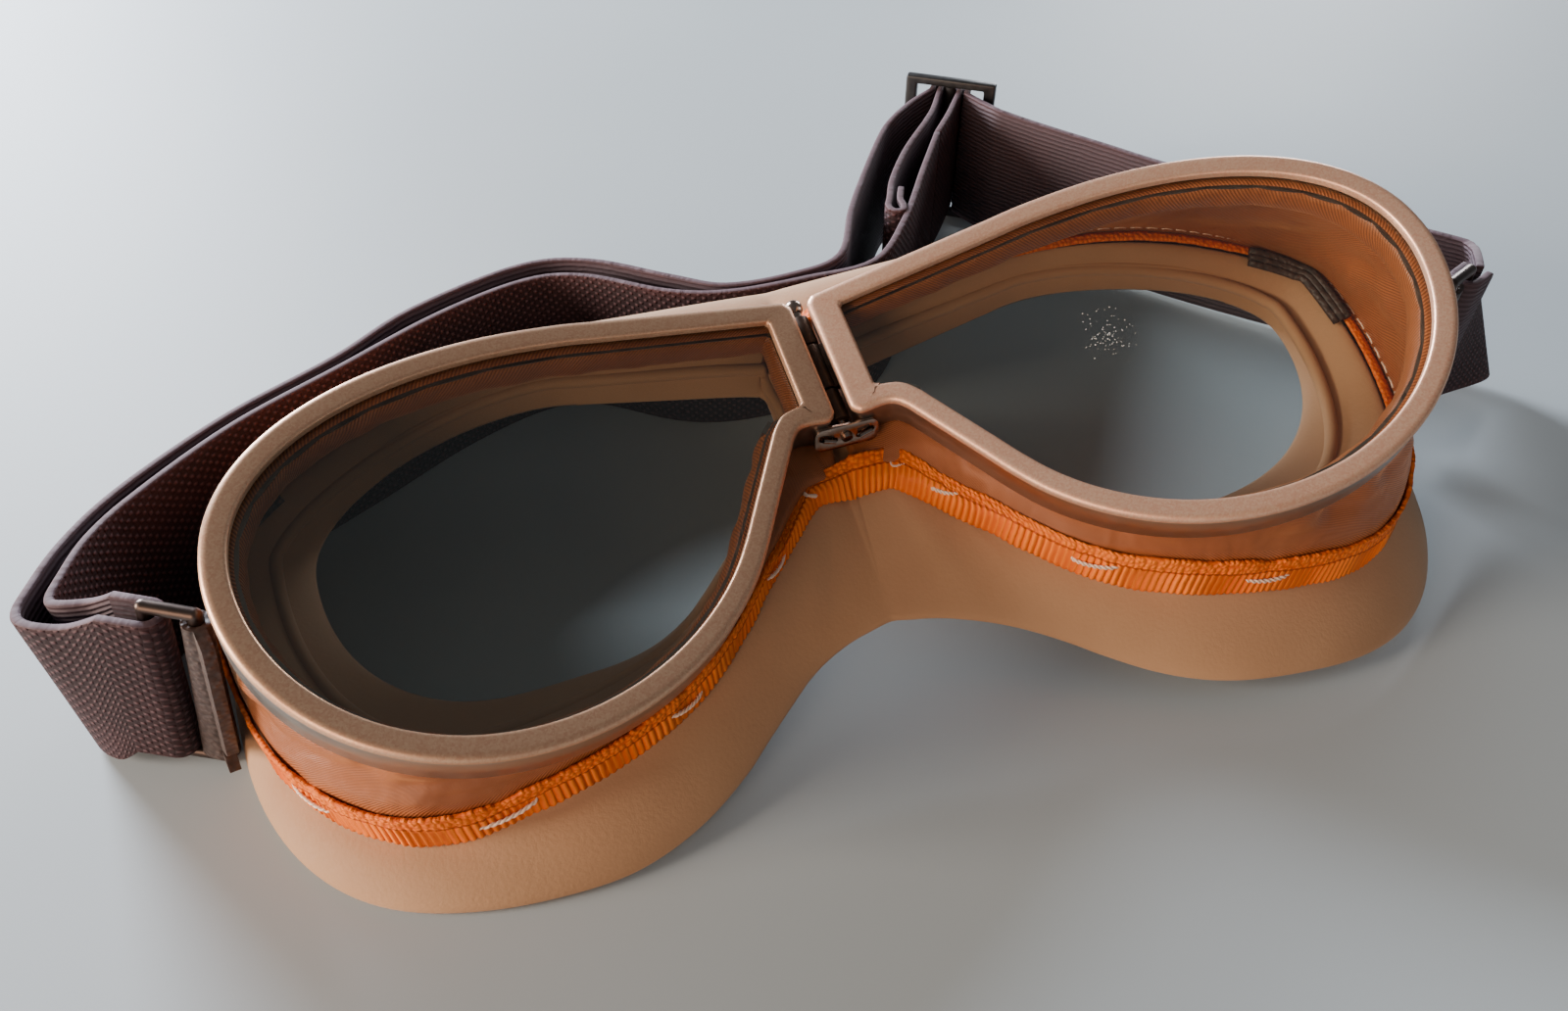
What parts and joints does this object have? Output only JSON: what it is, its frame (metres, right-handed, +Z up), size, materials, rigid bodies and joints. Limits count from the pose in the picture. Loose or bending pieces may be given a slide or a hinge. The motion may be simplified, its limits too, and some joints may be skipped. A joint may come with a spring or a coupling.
{
  "type": "tanker goggles",
  "caption": "Folding goggles with two teardrop metal eyepieces hinged over the nose, cloth gussets, a moulded rubber face mask and an elastic head strap, lying on a table",
  "frame": {"origin": "on the table, below the middle of the nose hinge", "axes": "+X to the right eye's temple as the goggles lie, +Y from the cheeks to the forehead, +Z up off the table, through the lenses"},
  "size_m": [0.2441, 0.1478, 0.0563],
  "materials": {
    "face_rubber": "matte moulded rubber, dusted",
    "ribbon": "ribbed grosgrain with a picot edge",
    "gusset_cloth": "satin-woven nylon",
    "frame_metal": "sandblasted, champagne anodised",
    "lens_glass": "clear polished",
    "ring_metal": "dull",
    "nickel": "polished dark nickel",
    "leather": "pebbled",
    "webbing": "woven elastic webbing",
    "thread": "waxed thread",
    "slider_metal": "black enamel"
  },
  "bodies": {
    "mask_and_strap": {"mask": "face_rubber", "left_ribbon": "ribbon", "right_ribbon": "ribbon", "left_gusset": "gusset_cloth", "right_gusset": "gusset_cloth", "hinge_pin": "nickel", "nose_bracket": "nickel", "bracket_staple": "nickel", "left_tab": "leather", "right_tab": "leather", "left_tab_anchor": "leather", "right_tab_anchor": "leather", "left_strap_loop": "webbing", "right_strap_loop": "webbing", "strap_outer_run": "webbing", "strap_inner_run": "webbing", "strap_sewn_end": "webbing", "strap_right_run": "webbing", "slider_webbing": "webbing", "left_hand_stitches": "thread", "right_hand_stitches": "thread"},
    "left_eyepiece": {"left_frame": "frame_metal", "left_lens": "lens_glass", "left_lens_ring": "ring_metal", "left_rim_clip": "ring_metal"},
    "right_eyepiece": {"right_frame": "frame_metal", "right_lens": "lens_glass", "right_lens_ring": "ring_metal", "right_rim_clip": "ring_metal"},
    "left_ring": {"left_strap_ring": "nickel"},
    "right_ring": {"right_strap_ring": "nickel"},
    "slider": {"slider_frame": "slider_metal", "slider_bar": "slider_metal"}
  },
  "joints": [
    {"name": "left_eyepiece_hinge", "type": "hinge", "parent": "mask_and_strap", "child": "left_eyepiece", "pos_m": [0, 0.0014, 0.0311], "axis": [0, 0.9317, 0.3633], "range_deg": [-1.5, 8], "deforming": ["left_gusset"]},
    {"name": "right_eyepiece_hinge", "type": "hinge", "parent": "mask_and_strap", "child": "right_eyepiece", "pos_m": [0, 0.0014, 0.0311], "axis": [0, -0.9317, -0.3633], "range_deg": [-6, 6], "deforming": ["right_gusset"]},
    {"name": "left_ring_swing", "type": "hinge", "parent": "mask_and_strap", "child": "left_ring", "pos_m": [-0.0933, -0.0139, 0.0009], "axis": [0.1821, -0.0811, 0.9799], "range_deg": [-20, 20], "deforming": ["left_strap_loop"]},
    {"name": "right_ring_swing", "type": "hinge", "parent": "mask_and_strap", "child": "right_ring", "pos_m": [0.0988, -0.019, 0.0059], "axis": [0, 0, 1], "range_deg": [-20, 20], "deforming": ["right_strap_loop"]},
    {"name": "slider_slide", "type": "slide", "parent": "mask_and_strap", "child": "slider", "axis": [-0.6225, -0.7826, 0], "range_m": [0, 0.008], "deforming": ["slider_webbing"]}
  ]
}
